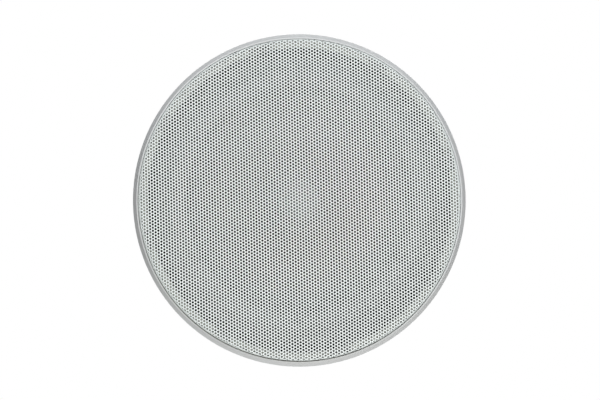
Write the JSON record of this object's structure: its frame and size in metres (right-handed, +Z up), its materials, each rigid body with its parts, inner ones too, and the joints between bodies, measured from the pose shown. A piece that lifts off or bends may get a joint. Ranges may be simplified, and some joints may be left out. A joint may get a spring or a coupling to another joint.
{
  "type": "in ceiling speaker",
  "caption": "Round white in-ceiling loudspeaker: slim bevelled bezel, perforated steel grille, woofer with a coaxial tweeter behind it, and screw-driven clamps for the ceiling.",
  "frame": {"origin": "on the speaker's axis, in the plane of the flange's rear face, which lies against the ceiling", "axes": "+Z up into the ceiling void, square to the ceiling; the grille faces -Z into the room; the crossover board lies on the -X side"},
  "size_m": [0.232, 0.232, 0.101],
  "materials": {
    "trim_white": "fine matt white moulding",
    "frame_black": "glass filled black moulding",
    "felt_black": "black felt",
    "grille_white": "matt white powder coat on perforated steel",
    "bright_nickel": "nickel plating",
    "black_steel": "black painted pressed steel",
    "plated_steel": "zinc plated steel",
    "ferrite": "dark grey sintered ferrite",
    "soft_rubber": "soft matt rubber",
    "foam": "closed foam gasket",
    "cone_black": "moulded matt cone",
    "spider_cloth": "resin treated cloth",
    "former_film": "amber film",
    "copper_wire": "enamelled copper wire",
    "black_plastic": "black moulded plastic",
    "dome_metal": "satin metal dome",
    "board_green": "coated circuit board",
    "film_yellow": "wrapped film capacitor",
    "sleeve_black": "shrunk sleeve",
    "cement_white": "cement body",
    "tag_brown": "phenolic board",
    "tag_tin": "tinned brass",
    "tinsel": "woven tinsel braid",
    "lead_black": "soft wire cover",
    "lead_red": "soft wire cover",
    "button_red": "red push button",
    "button_black": "black push button",
    "clamp_black": "glass filled plastic"
  },
  "bodies": {
    "housing": {"frame": "frame_black", "trim_ring": "trim_white", "felt_ring": "felt_black", "grille": "grille_white", "grille_magnets": "ferrite", "woofer_basket": "black_steel", "woofer_gasket": "foam", "woofer_surround": "soft_rubber", "spider": "spider_cloth", "top_plate": "plated_steel", "ring_magnet": "ferrite", "pole_yoke": "plated_steel", "woofer_screws": "plated_steel", "tweeter_post": "black_plastic", "tweeter_nut": "plated_steel", "tweeter_faceplate": "black_plastic", "tweeter_dome": "dome_metal", "tweeter_voice_coil": "copper_wire", "tweeter_top_plate": "plated_steel", "tweeter_magnet": "bright_nickel", "tweeter_yoke": "plated_steel", "tweeter_housing": "black_plastic", "crossover_board": "board_green", "board_screws": "plated_steel", "crossover_inductor": "copper_wire", "crossover_film_capacitor": "film_yellow", "crossover_round_capacitor": "sleeve_black", "crossover_resistor": "cement_white", "terminal_block": "black_plastic", "tag_strip": "tag_brown", "tag_lugs": "tag_tin", "tinsel_leads": "tinsel", "woofer_leads": "lead_red", "tweeter_lead": "lead_black"},
    "cone": {"woofer_cone": "cone_black", "voice_coil_former": "former_film", "voice_coil": "copper_wire"},
    "positive_button": {"terminal_button_positive": "button_red"},
    "negative_button": {"terminal_button_negative": "button_black"},
    "clamp_screw_1": {"clamp_screw_1": "plated_steel"},
    "clamp_dog_1": {"clamp_dog_1": "clamp_black"},
    "clamp_screw_2": {"clamp_screw_2": "plated_steel"},
    "clamp_dog_2": {"clamp_dog_2": "clamp_black"},
    "clamp_screw_3": {"clamp_screw_3": "plated_steel"},
    "clamp_dog_3": {"clamp_dog_3": "clamp_black"},
    "clamp_screw_4": {"clamp_screw_4": "plated_steel"},
    "clamp_dog_4": {"clamp_dog_4": "clamp_black"}
  },
  "joints": [
    {"name": "cone_travel", "type": "slide", "parent": "housing", "child": "cone", "axis": [0, 0, 1], "range_m": [-0.004, 0.004], "stiffness_N_per_m": 1100, "deforming": ["woofer_surround", "spider", "tinsel_leads"]},
    {"name": "clamp_1_swing", "type": "hinge", "parent": "housing", "child": "clamp_screw_1", "pos_m": [0.06647, 0.06647, 0.006], "axis": [0, 0, 1], "range_deg": [0, 110]},
    {"name": "clamp_1_draw", "type": "slide", "parent": "clamp_screw_1", "child": "clamp_dog_1", "axis": [0, 0, -1], "range_m": [0, 0.03]},
    {"name": "clamp_2_swing", "type": "hinge", "parent": "housing", "child": "clamp_screw_2", "pos_m": [-0.06647, 0.06647, 0.006], "axis": [0, 0, 1], "range_deg": [0, 110]},
    {"name": "clamp_2_draw", "type": "slide", "parent": "clamp_screw_2", "child": "clamp_dog_2", "axis": [0, 0, -1], "range_m": [0, 0.03]},
    {"name": "clamp_3_swing", "type": "hinge", "parent": "housing", "child": "clamp_screw_3", "pos_m": [-0.06647, -0.06647, 0.006], "axis": [0, 0, 1], "range_deg": [0, 110]},
    {"name": "clamp_3_draw", "type": "slide", "parent": "clamp_screw_3", "child": "clamp_dog_3", "axis": [0, 0, -1], "range_m": [0, 0.03]},
    {"name": "clamp_4_swing", "type": "hinge", "parent": "housing", "child": "clamp_screw_4", "pos_m": [0.06647, -0.06647, 0.006], "axis": [0, 0, 1], "range_deg": [0, 110]},
    {"name": "clamp_4_draw", "type": "slide", "parent": "clamp_screw_4", "child": "clamp_dog_4", "axis": [0, 0, -1], "range_m": [0, 0.03]},
    {"name": "positive_press", "type": "slide", "parent": "housing", "child": "positive_button", "axis": [0, 0, -1], "range_m": [0, 0.0025], "stiffness_N_per_m": 500, "springref_m": -0.001},
    {"name": "negative_press", "type": "slide", "parent": "housing", "child": "negative_button", "axis": [0, 0, -1], "range_m": [0, 0.0025], "stiffness_N_per_m": 500, "springref_m": -0.001}
  ]
}
